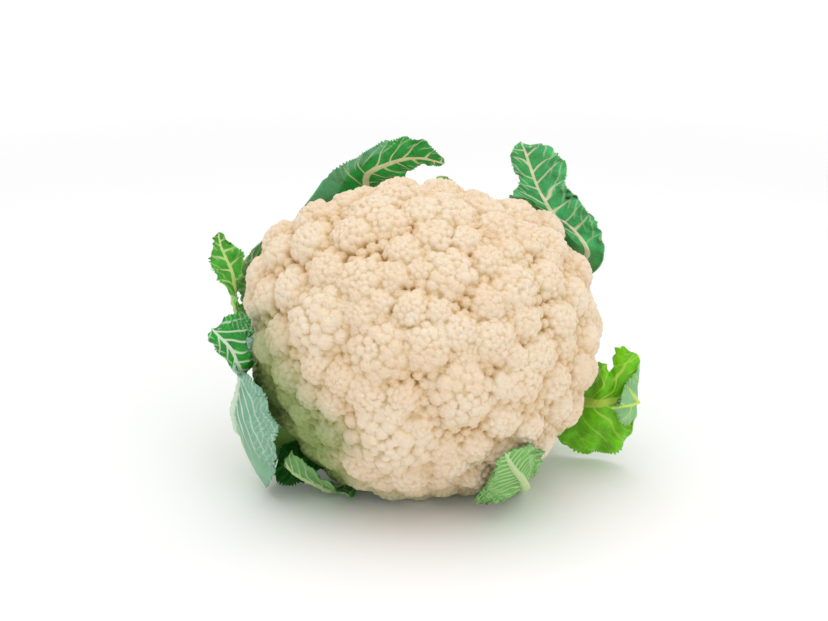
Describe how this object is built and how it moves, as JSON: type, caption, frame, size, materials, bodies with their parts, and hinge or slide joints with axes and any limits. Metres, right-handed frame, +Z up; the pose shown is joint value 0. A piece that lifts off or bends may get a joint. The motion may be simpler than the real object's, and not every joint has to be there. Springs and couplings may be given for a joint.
{
  "type": "cauliflower",
  "caption": "Head of cauliflower with a domed curd of florets, a cut stalk and trimmed leaves, lying tipped back on a surface.",
  "frame": {"origin": "middle of the flat spot under the curd, on the surface that the head lies on", "axes": "+Z up; the crown of the curd faces -Y, upward at 43 degrees and 13.5 degrees towards +X; +X to the right as the crown is faced"},
  "size_m": [0.2076, 0.172, 0.166],
  "materials": {
    "curd": "matt cream vegetable flesh, granular",
    "stalk": "pale green vegetable flesh, satin skin and matt cut",
    "leaf": "green leaf, waxy on the outer side, with pale veins"
  },
  "bodies": {
    "root": {"curd": "curd", "stalk": "stalk", "leaf_top_left": "leaf", "leaf_top_back": "leaf", "leaf_top_right": "leaf", "leaf_left": "leaf", "leaf_left_lower": "leaf", "leaf_floor_dark": "leaf", "leaf_bottom_left": "leaf", "leaf_bottom_right": "leaf", "leaf_right": "leaf", "leaf_back_right": "leaf", "leaf_back_left": "leaf"}
  },
  "joints": []
}
